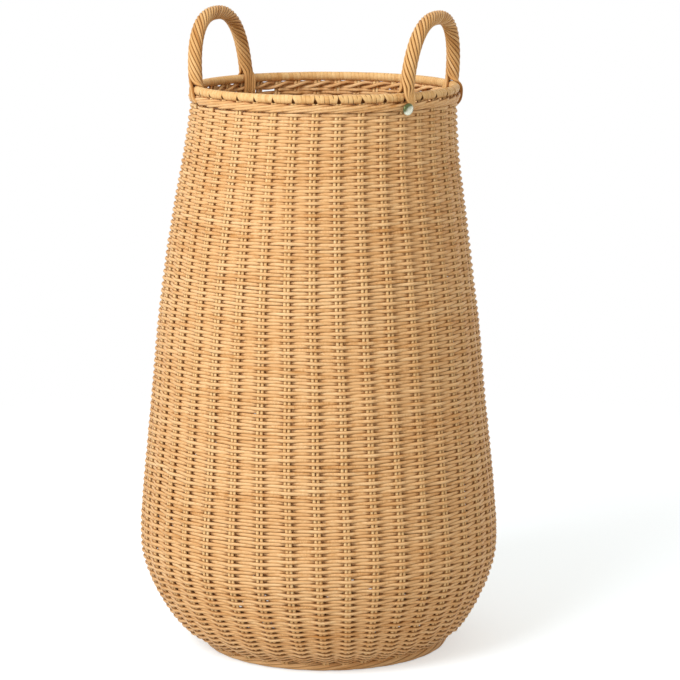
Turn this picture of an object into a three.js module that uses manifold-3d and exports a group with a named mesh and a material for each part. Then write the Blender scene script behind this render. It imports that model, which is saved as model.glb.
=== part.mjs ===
// A tall laundry basket of woven rattan, in millimetres, +Z up, with its front at -Y.
// It stands on a plaited foot border. A woven base on crossed sticks closes it below. Pairs of
// rods, the stakes, run up inside the woven wall to a bound hoop, and two roped bows are the
// handles. The basket is open at the top, and nothing on it moves.
import * as THREE from "three";
import { mergeVertices } from "three/addons/utils/BufferGeometryUtils.js";
import Module from "manifold-3d";

const wasm = await Module();
wasm.setup();

// Rods and the gap left between neighbours
const clearance = 0.3;
const stake_rod_diameter = 3.8;
const stake_rod_pitch = 4.5;
const weaver_diameter = 4;
const strand_diameter = 3.5;

// Wall, from the foot to the middle of the rim hoop
const rim_height = 702;
const mouth_radius = 161;
const belly_height = 162;
const belly_radius = 225;
const wall_foot_height = 10;
const lower_weave_height = 75;
const belly_weave_height = 260;
const middle_weave_height = 470;
const lower_wall_power = 2.8;

// The upper wall as shares: [way up from belly to rim, way in from belly to mouth]
const upper_wall_shares = [
  [0, 0],
  [0.11, 0.085],
  [0.27, 0.24],
  [0.475, 0.435],
  [0.68, 0.69],
  [0.865, 0.925],
  [0.96, 1.01],
  [1, 1],
];

// Heights of the wall's rings of corners, and of the bends of a stake, as shares of the rim height
const wall_height_shares = [0.035, 0.06, 0.085, 0.14, 0.195, 0.25, 0.34, 0.47, 0.65, 0.8, 0.9];
const stake_height_shares = [0.045, 0.155, 0.25, 0.42, 0.65, 0.86];
const smallest_corner_gap = 12;

// The basket is made by hand: its foot and its mouth stand a little to one side of the belly,
// and the stakes near its front lean, their tops to the left of their feet
const mouth_offset = 8.5;
const mouth_offset_power = 3.3;
const foot_offset = 6;
const foot_offset_power = 6;
const lean_angle = THREE.MathUtils.degToRad(5);
const lean_middle_angle = THREE.MathUtils.degToRad(-95);
const lean_spread_angle = THREE.MathUtils.degToRad(28);

// Stakes, counted from the front towards +X
const stake_count = 39;
const first_stake_angle = THREE.MathUtils.degToRad(-91);
const stake_foot_height = 5;

// Foot border, and how far in from its middle the wall starts
const foot_radius = 149;
const foot_width = 14;
const wall_foot_inset = 2;
const foot_height = 12;
const foot_round = 2.5;

// Base
const base_stick_count = 5;
const base_stick_width = 5;
const base_stick_height = 4;
const base_stick_pitch = 7;
const base_block_length = 48;
const base_height = 9;
const base_thickness = 9;
const base_edge_gap = 2;
const base_edge_width = 4;
const spoke_start_radius = 20;

// Rim
const hoop_diameter = 9;
const binding_thickness = 1.5;
const binding_slot_angle = THREE.MathUtils.degToRad(70);
const wale_height = 12;
const wale_extra_thickness = 1.2;

// Handles
const handle_core_diameter = 11;
const handle_rise = 89;
const handle_lean = 8;
const handle_stake_count = 7;
const right_handle_angle = THREE.MathUtils.degToRad(-20.3);
const left_handle_angle = THREE.MathUtils.degToRad(161);
const bow_power = 2.5;
const strap_width = 16;
const strap_thickness = 3;
const strap_gap = 0.8;
const strap_tuck_height = 15;
const outer_strap_drop = 27;
const inner_strap_drop = 20;

// Button on the front foot of the right handle, with its pin and washer, and the stake it goes through
const pinned_stake = 4;
const button_diameter = 14;
const button_thickness = 1.2;
const button_dome = 2;
const pin_diameter = 2.6;
const pin_drop = 14.5;
const pin_tail = 1;
const washer_diameter = 8;
const washer_thickness = 1;

// How finely round things are cut
const ring_sides = 40;
const bow_steps = 16;
const rod_sides = 8;
const button_sides = 20;
const arc_steps = 6;
const dome_steps = 3;

const wall_thickness = stake_rod_diameter + 2 * weaver_diameter;
const wale_thickness = wall_thickness + wale_extra_thickness;
const stake_width = stake_rod_pitch + stake_rod_diameter;
const stake_spacing_angle = (2 * Math.PI) / stake_count;
const belly_mid_radius = belly_radius - wall_thickness / 2;
const wall_foot_radius = foot_radius - wall_foot_inset;
const base_radius = foot_radius - foot_width / 2 - base_edge_gap;
const base_stick_reach = base_radius - base_edge_width;
const hoop_radius = hoop_diameter / 2;
const binding_bore_radius = hoop_radius + clearance;
const binding_radius = binding_bore_radius + binding_thickness;
const wale_top = rim_height - binding_radius - clearance;
const wale_bottom = wale_top - wale_height;
const stake_top = rim_height - hoop_radius - clearance;
const sleeve_radius = handle_core_diameter / 2 + strand_diameter;
const handle_half_angle = (handle_stake_count * stake_spacing_angle) / 2;
const pin_height = rim_height - pin_drop;
const slope_step = weaver_diameter / 10;

const weaver_material = rattan("weaver rattan", "#dda85c", 0.55);
const stake_material = rattan("stake rattan", "#d9a665", 0.6);
const cane_material = rattan("binding cane", "#e2b478", 0.45);
const handle_material = rattan("handle rattan", "#d8a562", 0.5);
const base_material = rattan("base rattan", "#c9974f", 0.65);
const metal = new THREE.MeshStandardMaterial({
  name: "polished metal",
  color: "#cfd2c4",
  roughness: 0.18,
  metalness: 1,
});

function rattan(name, color, roughness) {
  return new THREE.MeshStandardMaterial({ name, color, roughness, metalness: 0 });
}

// Angle of a stake about Z
function stakeAngle(index) {
  return first_stake_angle + index * stake_spacing_angle;
}

// Smooth curve through a table of [place, value] rows
function smoothTable(rows, place) {
  const slope = (low, high) => (rows[high][1] - rows[low][1]) / (rows[high][0] - rows[low][0]);
  const last = rows.length - 1;
  let row = 0;
  while (row < last - 1 && place > rows[row + 1][0]) row += 1;
  const [start, startValue] = rows[row];
  const [end, endValue] = rows[row + 1];
  const length = end - start;
  const t = THREE.MathUtils.clamp((place - start) / length, 0, 1);
  const startSlope = slope(Math.max(row - 1, 0), row + 1) * length;
  const endSlope = slope(row, Math.min(row + 2, last)) * length;
  const rise = t * t * (3 - 2 * t);
  const startPull = t * (1 - t) * (1 - t) * startSlope;
  const endPull = t * t * (1 - t) * endSlope;
  return startValue + (endValue - startValue) * rise + startPull - endPull;
}

// Radius of the middle of the wall at a height
function wallRadius(height) {
  if (height < belly_height) {
    const share = Math.max((height - wall_foot_height) / (belly_height - wall_foot_height), 0);
    const fullness = 1 - (1 - share) ** lower_wall_power;
    return wall_foot_radius + (belly_mid_radius - wall_foot_radius) * fullness;
  }
  const share = Math.min((height - belly_height) / (rim_height - belly_height), 1);
  return belly_mid_radius - (belly_mid_radius - mouth_radius) * smoothTable(upper_wall_shares, share);
}

// A slanted wall is thicker when it is measured level, by this factor
function levelStretch(height) {
  const slope = (wallRadius(height + slope_step) - wallRadius(height - slope_step)) / (2 * slope_step);
  return Math.hypot(1, slope);
}

// Puts a point where the handmade form has it: turned with the leaning stakes, and shifted sideways
function handmade(point) {
  const height = Math.min(point.z, rim_height);
  const fromMiddle = Math.atan2(point.y, point.x) - lean_middle_angle;
  const around = Math.atan2(Math.sin(fromMiddle), Math.cos(fromMiddle));
  const strength = Math.exp(-((around / lean_spread_angle) ** 2));
  const turn = lean_angle * (1 / 2 - height / rim_height) * strength;
  const share = Math.min(Math.abs((2 * height) / rim_height - 1), 1);
  const nearMouth = height > rim_height / 2;
  const moved = point.clone().applyAxisAngle(new THREE.Vector3(0, 0, 1), turn);
  moved.x += nearMouth ? mouth_offset * share ** mouth_offset_power : foot_offset * share ** foot_offset_power;
  return moved;
}

// Ring about Z from a closed outline of [radius, height], listed upwards on its outer side
function ring(outline) {
  const points = [...outline, outline[0]].map(([radius, height]) => new THREE.Vector2(radius, height));
  return new THREE.LatheGeometry(points, ring_sides).rotateX(Math.PI / 2);
}

// Stretch of wall between two heights
function wallBand(bottom, top, thickness) {
  const between = wall_height_shares.map((share) => share * rim_height);
  const lowest = bottom + smallest_corner_gap;
  const highest = top - smallest_corner_gap;
  const inside = between.filter((height) => height > lowest && height < highest);
  const heights = [bottom, ...inside, top];
  const side = (way) =>
    heights.map((height) => [wallRadius(height) + (way * thickness * levelStretch(height)) / 2, height]);
  return ring([...side(1), ...side(-1).reverse()]);
}

// Points of an arc in an outline, about a centre
function arc(centreRadius, centreHeight, radius, start, end, steps) {
  return Array.from({ length: steps + 1 }, (_, step) => {
    const angle = start + ((end - start) * step) / steps;
    return [centreRadius + radius * Math.cos(angle), centreHeight + radius * Math.sin(angle)];
  });
}

// Bar of rectangular section along a route of [radius, height] in the plane at angle zero
function bar(route, width, thickness) {
  const spans = route.length - 1;
  const geometry = new THREE.BoxGeometry(thickness, width, 1, 1, 1, spans);
  const corners = geometry.attributes.position;
  const points = route.map(([radius, height]) => new THREE.Vector2(radius, height));
  for (let index = 0; index < corners.count; index += 1) {
    const station = Math.round((corners.getZ(index) + 0.5) * spans);
    const before = points[Math.max(station - 1, 0)];
    const after = points[Math.min(station + 1, spans)];
    const along = after.clone().sub(before).normalize();
    const out = corners.getX(index);
    corners.setX(index, points[station].x + along.y * out);
    corners.setZ(index, points[station].y - along.x * out);
  }
  return geometry;
}

// Closed solid from a geometry, for joins and cuts
function solidOf(geometry) {
  const bare = geometry.clone();
  bare.deleteAttribute("normal");
  bare.deleteAttribute("uv");
  const merged = mergeVertices(bare);
  const corners = merged.index.array;
  const kept = [];
  for (let start = 0; start < corners.length; start += 3) {
    const [a, b, c] = corners.slice(start, start + 3);
    if (a !== b && b !== c && c !== a) kept.push(a, b, c);
  }
  const mesh = new wasm.Mesh({
    numProp: 3,
    vertProperties: new Float32Array(merged.attributes.position.array),
    triVerts: new Uint32Array(kept),
  });
  return new wasm.Manifold(mesh);
}

// Geometry from a joined or cut solid
function geometryOf(solid) {
  const mesh = solid.getMesh();
  const geometry = new THREE.BufferGeometry();
  geometry.setAttribute("position", new THREE.BufferAttribute(mesh.vertProperties, 3));
  geometry.setIndex(new THREE.BufferAttribute(mesh.triVerts, 1));
  return geometry;
}

const basket = new THREE.Group();

// Adds a named piece, moved with the handmade form
function addPiece(name, geometry, material, group) {
  const corners = geometry.attributes.position;
  for (let index = 0; index < corners.count; index += 1) {
    const corner = handmade(new THREE.Vector3().fromBufferAttribute(corners, index));
    corners.setXYZ(index, ...corner.toArray());
  }
  geometry.computeVertexNormals();
  const piece = new THREE.Mesh(geometry, material);
  piece.name = name;
  group.add(piece);
}

function addGroup() {
  const group = new THREE.Group();
  basket.add(group);
  return group;
}

// Route of a stake from the foot border to just under the hoop
function stakeRoute(lowEnd, highEnd) {
  const bends = stake_height_shares.map((share) => share * rim_height);
  const heights = [lowEnd, foot_height, bends[0], lower_weave_height, ...bends.slice(1), wale_bottom, highEnd];
  return heights.map((height) => [wallRadius(height), height]);
}

// The space that the stakes take up in everything they pass through
function stakeChannels() {
  const route = stakeRoute(stake_foot_height - clearance, stake_top + clearance);
  const width = stake_width + 2 * clearance;
  const thickness = stake_rod_diameter + 2 * clearance;
  let channels = solidOf(bar(route, width, thickness).rotateZ(stakeAngle(0)));
  for (let index = 1; index < stake_count; index += 1) {
    channels = channels.add(solidOf(bar(route, width, thickness).rotateZ(stakeAngle(index))));
  }
  return channels;
}

// A rod lying along the radius of the button's foot, from one radius to another
function radialRod(radius, innerEnd, outerEnd, sides) {
  const rod = new THREE.CylinderGeometry(radius, radius, outerEnd - innerEnd, sides);
  rod.rotateZ(-Math.PI / 2).translate((innerEnd + outerEnd) / 2, 0, pin_height);
  return rod.rotateZ(stakeAngle(pinned_stake));
}

// Radius of the middle of a strap that lies outside (1) or inside (-1) of a wall of this thickness
function strapRadius(height, thickness, way) {
  return wallRadius(height) + way * (thickness / 2 + strap_gap + strap_thickness / 2);
}

// Strap of strand ends that grips the rim and the wall under it at one foot of a handle
function strapRoute(drop, way) {
  const lean = handle_lean * (strap_tuck_height / handle_rise) * Math.cos(handle_half_angle);
  const tuckRadius = mouth_radius + lean + way * (handle_core_diameter + strand_diameter) / 2;
  const end = rim_height - drop;
  return [
    [tuckRadius, rim_height + strap_tuck_height],
    [strapRadius(rim_height, 2 * binding_radius, way), rim_height],
    [strapRadius(wale_top, wale_thickness, way), wale_top],
    [strapRadius(wale_bottom, wale_thickness, way), wale_bottom],
    [strapRadius(end, wall_thickness, way), end],
  ];
}

// A strap starts at its leg's angle and slants to its end's angle, which it has at the pin's height
function strap(drop, way, startAngle, endAngle) {
  const geometry = bar(strapRoute(drop, way), strap_width, strap_thickness);
  const corners = geometry.attributes.position;
  const top = rim_height + strap_tuck_height;
  for (let index = 0; index < corners.count; index += 1) {
    const corner = new THREE.Vector3().fromBufferAttribute(corners, index);
    const share = THREE.MathUtils.clamp((top - corner.z) / (top - pin_height), 0, 1);
    corner.applyAxisAngle(new THREE.Vector3(0, 0, 1), THREE.MathUtils.lerp(startAngle, endAngle, share));
    corners.setXYZ(index, ...corner.toArray());
  }
  return geometry;
}

// Middle line of a handle: a bow that rises from the rim, leaning outwards from feet that stand upright
class Bow extends THREE.Curve {
  constructor(startHeight) {
    super();
    this.startTurn = Math.asin((startHeight / handle_rise) ** (bow_power / 2));
  }

  getPoint(share) {
    const turn = this.startTurn + share * (Math.PI - 2 * this.startTurn);
    const across = -Math.cos(turn);
    const halfWidth = mouth_radius * Math.sin(handle_half_angle);
    const x = halfWidth * Math.sign(across) * Math.abs(across) ** (2 / bow_power);
    const z = handle_rise * Math.sin(turn) ** (2 / bow_power);
    const out = handle_lean * (z / handle_rise);
    return new THREE.Vector3(x, -out, z);
  }
}

// Tube along a handle's bow, solid or with a bore, set over the rim at an angle
function bowTube(radius, boreRadius, angle) {
  const section = new THREE.Shape();
  section.absarc(0, 0, radius, 0, 2 * Math.PI);
  if (boreRadius > 0) {
    const bore = new THREE.Path();
    bore.absarc(0, 0, boreRadius, 0, 2 * Math.PI);
    section.holes.push(bore);
  }
  const tube = new THREE.ExtrudeGeometry(section, {
    steps: bow_steps,
    curveSegments: rod_sides / 2,
    bevelEnabled: false,
    extrudePath: new Bow(binding_radius + 2 * clearance),
  });
  const reach = mouth_radius * Math.cos(handle_half_angle);
  return tube.translate(0, -reach, rim_height).rotateZ(angle + Math.PI / 2);
}

function handleWrap(angle) {
  let wrap = solidOf(bowTube(sleeve_radius, handle_core_diameter / 2 + clearance, angle));
  for (const foot of [angle - handle_half_angle, angle + handle_half_angle]) {
    const fromPin = Math.abs(foot - stakeAngle(pinned_stake));
    const end = fromPin < stake_spacing_angle / 2 ? stakeAngle(pinned_stake) : foot;
    wrap = wrap.add(solidOf(strap(outer_strap_drop, 1, foot, end)));
    wrap = wrap.add(solidOf(strap(inner_strap_drop, -1, foot, end)));
  }
  return wrap;
}

// Block of base sticks side by side with its spokes fanned out from both ends, along X
function baseSticks(blockLength, blockHeight, spokeHeight) {
  const blockWidth = base_stick_count * base_stick_pitch;
  const block = new THREE.BoxGeometry(blockLength, blockWidth, blockHeight).translate(0, 0, base_height);
  let sticks = solidOf(block);
  for (const spoke of baseSpokes(base_stick_width, spokeHeight, 0)) sticks = sticks.add(solidOf(spoke));
  return sticks;
}

// The spokes of one set of sticks, each from the block out to its reach
function baseSpokes(width, height, extraReach) {
  const spokes = [];
  const middle = (base_stick_count - 1) / 2;
  const fan = Math.PI / (2 * base_stick_count);
  for (let side = 0; side < 2; side += 1) {
    for (let index = 0; index < base_stick_count; index += 1) {
      const turn = (index - middle) * fan;
      const start = new THREE.Vector2(spoke_start_radius, (index - middle) * base_stick_pitch);
      const reach = base_stick_reach + extraReach;
      const end = new THREE.Vector2(reach * Math.cos(turn), reach * Math.sin(turn));
      const way = end.clone().sub(start);
      const spoke = new THREE.BoxGeometry(way.length(), width, height).rotateZ(way.angle());
      const centre = start.add(end).divideScalar(2);
      spokes.push(spoke.translate(centre.x, centre.y, base_height).rotateZ(side * Math.PI));
    }
  }
  return spokes;
}

// Base: five slit sticks along X, five sticks pushed through them along Y, woven round in a disc
function addBase(group) {
  const blockWidth = base_stick_count * base_stick_pitch;
  const slitWidth = blockWidth + 2 * clearance;
  const slitHeight = base_stick_height + 2 * clearance;
  const slit = new THREE.BoxGeometry(slitWidth, base_block_length, slitHeight);
  const pierced = baseSticks(base_block_length, base_thickness - 2 * clearance, base_stick_height);
  const piercedSticks = pierced.subtract(solidOf(slit.translate(0, 0, base_height)));
  addPiece("base_sticks_pierced", geometryOf(piercedSticks), base_material, group);

  const through = baseSticks(base_block_length, base_stick_height, base_stick_height);
  addPiece("base_sticks_through", geometryOf(through).rotateZ(Math.PI / 2), base_material, group);

  const disc = new THREE.CylinderGeometry(base_radius, base_radius, base_thickness, ring_sides);
  let weave = solidOf(disc.rotateX(Math.PI / 2).translate(0, 0, base_height));
  const channelWidth = base_stick_width + 2 * clearance;
  for (const turn of [0, Math.PI / 2]) {
    const gapLength = base_block_length + 2 * clearance;
    const gap = new THREE.BoxGeometry(gapLength, slitWidth, 2 * base_thickness);
    weave = weave.subtract(solidOf(gap.translate(0, 0, base_height).rotateZ(turn)));
    for (const channel of baseSpokes(channelWidth, slitHeight, clearance)) {
      weave = weave.subtract(solidOf(channel.rotateZ(turn)));
    }
  }
  addPiece("base_weave", geometryOf(weave), weaver_material, group);
}

// Foot border: a thick plaited ring, flat underneath, with a socket for the tail of each stake
function addFootBorder(channels, group) {
  const half = foot_width / 2;
  const border = ring([
    [foot_radius + half - foot_round, 0],
    [foot_radius + half, foot_round],
    [foot_radius + half, foot_height - foot_round / 2],
    [foot_radius + half - foot_round / 2, foot_height],
    [foot_radius - half + foot_round / 2, foot_height],
    [foot_radius - half, foot_height - foot_round],
    [foot_radius - half, foot_round],
    [foot_radius - half + foot_round, 0],
  ]);
  addPiece("foot_border", geometryOf(solidOf(border).subtract(channels)), weaver_material, group);
}

// The wall: the tight lower rows, three stretches of weave above them and the wale under the rim
function addWeave(channels, pinHole, group) {
  const stretches = [
    ["lower_weave", foot_height, lower_weave_height],
    ["belly_weave", lower_weave_height, belly_weave_height],
    ["middle_weave", belly_weave_height, middle_weave_height],
    ["upper_weave", middle_weave_height, wale_bottom],
  ];
  for (const [name, bottom, top] of stretches) {
    const band = wallBand(bottom + clearance, top, wall_thickness);
    addPiece(name, geometryOf(solidOf(band).subtract(channels)), weaver_material, group);
  }

  const wale = wallBand(wale_bottom + clearance, wale_top, wale_thickness);
  const waleSolid = solidOf(wale).subtract(channels).subtract(pinHole);
  addPiece("top_wale", geometryOf(waleSolid), weaver_material, group);
}

// Each stake is a pair of rods side by side. The button's pin goes between the rods of one pair.
function addStakes(pinHole, group) {
  const route = stakeRoute(stake_foot_height, stake_top);
  for (let index = 0; index < stake_count; index += 1) {
    const stake = bar(route, stake_width, stake_rod_diameter).rotateZ(stakeAngle(index));
    const pinned = index === pinned_stake;
    const geometry = pinned ? geometryOf(solidOf(stake).subtract(pinHole)) : stake;
    const number = String(index + 1).padStart(2, "0");
    addPiece("stake_" + number, geometry, stake_material, group);
  }
}

// Rim: a round hoop and the flat cane bound round it, open below where it passes into the wale
function addRim(group) {
  const hoop = arc(mouth_radius, rim_height, hoop_radius, 0, 2 * Math.PI, rod_sides).slice(1);
  addPiece("rim_hoop", ring(hoop), stake_material, group);

  const start = (binding_slot_angle - Math.PI) / 2;
  const end = Math.PI - start;
  const outer = arc(mouth_radius, rim_height, binding_radius, start, end, arc_steps);
  const inner = arc(mouth_radius, rim_height, binding_bore_radius, end, start, arc_steps);
  addPiece("rim_binding", ring([...outer, ...inner]), cane_material, group);
}

function addHandle(side, angle, pinHole, group) {
  addPiece(side + "_handle_core", bowTube(handle_core_diameter / 2, 0, angle), handle_material, group);
  const wrap = handleWrap(angle).subtract(pinHole);
  addPiece(side + "_handle_wrap", geometryOf(wrap), handle_material, group);
}

// Button: a plain domed disc on a pin through the handle's foot, and a washer on the inside
function addButton(group) {
  const face = strapRadius(wale_top, wale_thickness, 1) + strap_thickness / 2 + clearance;
  const back = strapRadius(wale_bottom, wale_thickness, -1) - strap_thickness / 2 - clearance;
  const domeTop = button_thickness + button_dome;
  const domeSide = Array.from({ length: dome_steps }, (_, step) => {
    const turn = (step / dome_steps) * (Math.PI / 2);
    const out = (button_diameter / 2) * Math.cos(turn);
    return new THREE.Vector2(out, button_thickness + button_dome * Math.sin(turn));
  });
  const outline = [
    new THREE.Vector2(0, 0),
    new THREE.Vector2(button_diameter / 2, 0),
    ...domeSide,
    new THREE.Vector2(0, domeTop),
  ];
  const head = new THREE.LatheGeometry(outline, button_sides).rotateZ(-Math.PI / 2);
  head.translate(face, 0, pin_height).rotateZ(stakeAngle(pinned_stake));
  const pinEnd = back - washer_thickness - pin_tail;
  const pin = radialRod(pin_diameter / 2, pinEnd, face + button_thickness / 2, rod_sides);
  addPiece("badge_button", geometryOf(solidOf(head).add(solidOf(pin))), metal, group);

  const disc = solidOf(radialRod(washer_diameter / 2, back - washer_thickness, back, button_sides));
  const bore = radialRod(pin_diameter / 2 + clearance, pinEnd, back + pin_tail, rod_sides);
  addPiece("badge_washer", geometryOf(disc.subtract(solidOf(bore))), metal, group);
}

const channels = stakeChannels();
const pinReach = wale_thickness / 2 + 2 * strap_thickness + strap_gap;
const pinHole = solidOf(
  radialRod(pin_diameter / 2 + clearance, mouth_radius - pinReach, mouth_radius + pinReach, rod_sides),
);

addBase(addGroup());
addFootBorder(channels, addGroup());
addWeave(channels, pinHole, addGroup());
addStakes(pinHole, addGroup());
addRim(addGroup());
addHandle("right", right_handle_angle, pinHole, addGroup());
addHandle("left", left_handle_angle, pinHole, addGroup());
addButton(addGroup());

export default basket;
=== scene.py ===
# %% [markdown]
# # A woven laundry basket
#
# This lesson dresses the basket's plain solids as real rattan. Everything that shows on a basket is a rod:
# round ones are woven, twisted or plaited, and flat ones are wound. So nearly every piece here is a bundle
# of strands, and each strand is a tube of mesh that follows a path worked out from how baskets are made.
# A picture of a weave on a smooth wall would be quicker, but it has no holes, no shadows between the rods
# and no knobbly edge against the light. Real rods give all three.

import math
from collections import namedtuple

import bpy
import numpy as np
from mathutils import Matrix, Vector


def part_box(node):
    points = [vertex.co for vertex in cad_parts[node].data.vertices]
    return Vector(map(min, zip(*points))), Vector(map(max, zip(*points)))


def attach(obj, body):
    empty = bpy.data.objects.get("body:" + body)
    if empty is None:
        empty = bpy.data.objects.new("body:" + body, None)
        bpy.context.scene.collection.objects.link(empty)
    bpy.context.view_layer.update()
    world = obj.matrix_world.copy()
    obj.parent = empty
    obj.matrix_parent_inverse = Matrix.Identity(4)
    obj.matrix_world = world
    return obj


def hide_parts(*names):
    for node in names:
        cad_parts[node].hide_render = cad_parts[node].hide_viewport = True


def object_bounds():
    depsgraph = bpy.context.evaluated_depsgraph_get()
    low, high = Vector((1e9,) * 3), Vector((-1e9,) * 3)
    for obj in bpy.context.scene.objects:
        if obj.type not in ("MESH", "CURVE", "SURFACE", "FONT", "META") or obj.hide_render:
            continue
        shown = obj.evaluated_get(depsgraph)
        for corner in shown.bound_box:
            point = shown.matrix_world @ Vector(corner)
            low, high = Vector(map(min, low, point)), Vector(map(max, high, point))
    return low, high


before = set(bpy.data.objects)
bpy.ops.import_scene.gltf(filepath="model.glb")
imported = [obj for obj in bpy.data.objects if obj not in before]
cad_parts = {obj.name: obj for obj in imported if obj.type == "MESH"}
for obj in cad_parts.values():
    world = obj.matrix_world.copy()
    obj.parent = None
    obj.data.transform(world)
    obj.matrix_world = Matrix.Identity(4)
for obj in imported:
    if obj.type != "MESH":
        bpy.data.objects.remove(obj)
cad_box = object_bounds()
chance = np.random.default_rng(39)
print("The part has", len(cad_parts), "nodes")

# %% [markdown]
# ## Sizes
#
# All lengths are in metres, and all angles in radians. The sizes that the solids already hold are read
# from their boxes, so that the looks stay on the construction. The other ones are those of the rods, which
# the solids only hint at.

# %% Sizes of the wall
rim_low, rim_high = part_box("rim_hoop")
wall_low, wall_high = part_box("belly_weave")
hoop_diameter = rim_high.z - rim_low.z
rim_height = (rim_high.z + rim_low.z) / 2
mouth_radius = (rim_high.y - rim_low.y - hoop_diameter) / 2
belly_radius = (wall_high.y - wall_low.y) / 2
belly_swell = 0.0015
belly_height = 0.162
wall_foot_height = 0.010
wall_foot_radius = 0.1485
lower_wall_shares = [
    [0, 0],
    [0.07, 0.22],
    [0.12, 0.37],
    [0.25, 0.58],
    [0.35, 0.7],
    [0.47, 0.825],
    [0.59, 0.918],
    [0.72, 0.988],
    [0.81, 1.005],
    [1, 1],
]
upper_wall_shares = [
    [0, 0],
    [0.11, 0.085],
    [0.27, 0.24],
    [0.475, 0.415],
    [0.68, 0.665],
    [0.865, 0.925],
    [0.96, 1.01],
    [1, 1],
]
print("Rim", round(rim_height, 4), "high, mouth", round(mouth_radius, 4), "belly", round(belly_radius, 4))

# %% Sizes of the rods
weaver_diameter = 0.0040
stake_rod_diameter = 0.0038
stake_rod_width = 0.0045
stake_out = 0.0010
stake_rod_pitch = 0.0045
strand_diameter = 0.0035
wall_thickness = stake_rod_diameter + 2 * weaver_diameter
belly_mid_radius = belly_radius + belly_swell - wall_thickness / 2

rod_sides = 8
stake_count = 39
stake_spacing = 2 * math.pi / stake_count
first_stake_angle = math.radians(-91)

# %% [markdown]
# ## The wall as a sheet
#
# A weave is easiest to write on a flat sheet: how far along the row, how far up the wall, and how far out
# of it. The wall's own shape then bends that sheet into the basket. The way up is measured along the
# curved wall and not straight up, because rows are packed against each other along the wall.


# %% The wall's shape
def on_circle(radius, angle, height):
    """Points, or directions, at an angle round the basket's axis."""
    return np.stack([radius * np.cos(angle), radius * np.sin(angle), height + 0 * angle], -1)


def smooth_table(shares, place):
    """Smooth curve through rows of [place, value]."""
    places, values = np.array(shares, float).T
    rows = np.arange(len(places))
    low, high = np.maximum(rows - 1, 0), np.minimum(rows + 1, rows[-1])
    slopes = (values[high] - values[low]) / (places[high] - places[low])
    row = np.clip(np.searchsorted(places, place, side="right") - 1, 0, rows[-1] - 1)
    length = places[row + 1] - places[row]
    t = np.clip((place - places[row]) / length, 0, 1)
    pull = slopes[row] * t * (1 - t) ** 2 - slopes[row + 1] * t**2 * (1 - t)
    return values[row] + (values[row + 1] - values[row]) * t * t * (3 - 2 * t) + length * pull


def wall_radius(height):
    """Radius of the middle of the wall at a height."""
    low = np.clip((height - wall_foot_height) / (belly_height - wall_foot_height), 0, 1)
    lower = wall_foot_radius + (belly_mid_radius - wall_foot_radius) * smooth_table(lower_wall_shares, low)
    high = np.clip((height - belly_height) / (rim_height - belly_height), 0, 1)
    upper = belly_mid_radius - (belly_mid_radius - mouth_radius) * smooth_table(upper_wall_shares, high)
    return np.where(height < belly_height, lower, upper)


profile_heights = np.linspace(0, rim_height, 1400)
profile_radii = wall_radius(profile_heights)
profile_steps = np.hypot(np.diff(profile_heights), np.diff(profile_radii))
profile_rises = np.concatenate([[0], np.cumsum(profile_steps)])
profile_out = np.gradient(profile_heights, profile_rises)
profile_down = -np.gradient(profile_radii, profile_rises)


def rise_at(height):
    """Way up along the wall at a height."""
    return np.interp(height, profile_heights, profile_rises)


def on_wall(angle, rise, out):
    """Points on the wall's sheet, and the directions straight out of it there."""
    outwards, downwards = (np.interp(rise, profile_rises, table) for table in (profile_out, profile_down))
    radius = np.interp(rise, profile_rises, profile_radii) + out * outwards
    height = np.interp(rise, profile_rises, profile_heights) + out * downwards
    return on_circle(radius, angle, height), on_circle(outwards, angle, downwards)


print("The wall is", round(profile_rises[-1], 3), "m from foot to rim along its curve")

# %% [markdown]
# ## The handmade form
#
# A basket woven round a loose form is never quite true. This one's mouth and foot stand a little to one
# side of its belly, the stakes near its front lean, and rows and stakes wander by a millimetre or so. All
# of that is one function that moves points, so that rods which touch still touch afterwards.

# %% Move points with the handmade form
mouth_offset = 0.0085
mouth_offset_power = 3.3
foot_offset = 0.0072
foot_offset_power = 6
lean_angle = math.radians(5)
lean_middle_angle = math.radians(-95)
lean_spread_angle = math.radians(28)
wander_angle = math.radians(0.3)
wander_rise = 0.0007


def handmade(points):
    """The same points on the basket as it was made by hand."""
    x, y, z = np.moveaxis(points, -1, 0)
    angle, radius = np.arctan2(y, x), np.hypot(x, y)
    height = np.minimum(z, rim_height)
    around = (angle - lean_middle_angle + math.pi) % (2 * math.pi) - math.pi
    strength = np.exp(-((around / lean_spread_angle) ** 2))
    turn = lean_angle * (0.5 - height / rim_height) * strength
    share = np.minimum(np.abs(2 * height / rim_height - 1), 1)
    loose = 1 - share**2
    waves = 2 * math.pi * height / rim_height
    turn = turn + wander_angle * loose * np.sin(5 * angle + 3 * waves) * np.cos(2 * angle - waves)
    lift = wander_rise * loose * (np.sin(3 * angle + 4 * waves) + np.sin(7 * angle - 5 * waves))
    near_mouth, near_foot = mouth_offset * share**mouth_offset_power, foot_offset * share**foot_offset_power
    moved = on_circle(radius, angle + turn, z + lift)
    moved[..., 0] += np.where(height > rim_height / 2, near_mouth, near_foot)
    return moved


# %% [markdown]
# ## Strands
#
# A strand is a row of rings along a path. Blender's curve objects with a bevel make tubes too, but each
# strand here also needs a shade of its own and a map along its length, so that the grain can run along the
# rod and not across it. A bundle gathers the strands of one piece and turns them into one mesh.


# %% Gather strands into one mesh
def unit(vectors):
    """The same directions with a length of 1."""
    return vectors / np.linalg.norm(vectors, axis=-1, keepdims=True)


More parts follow.
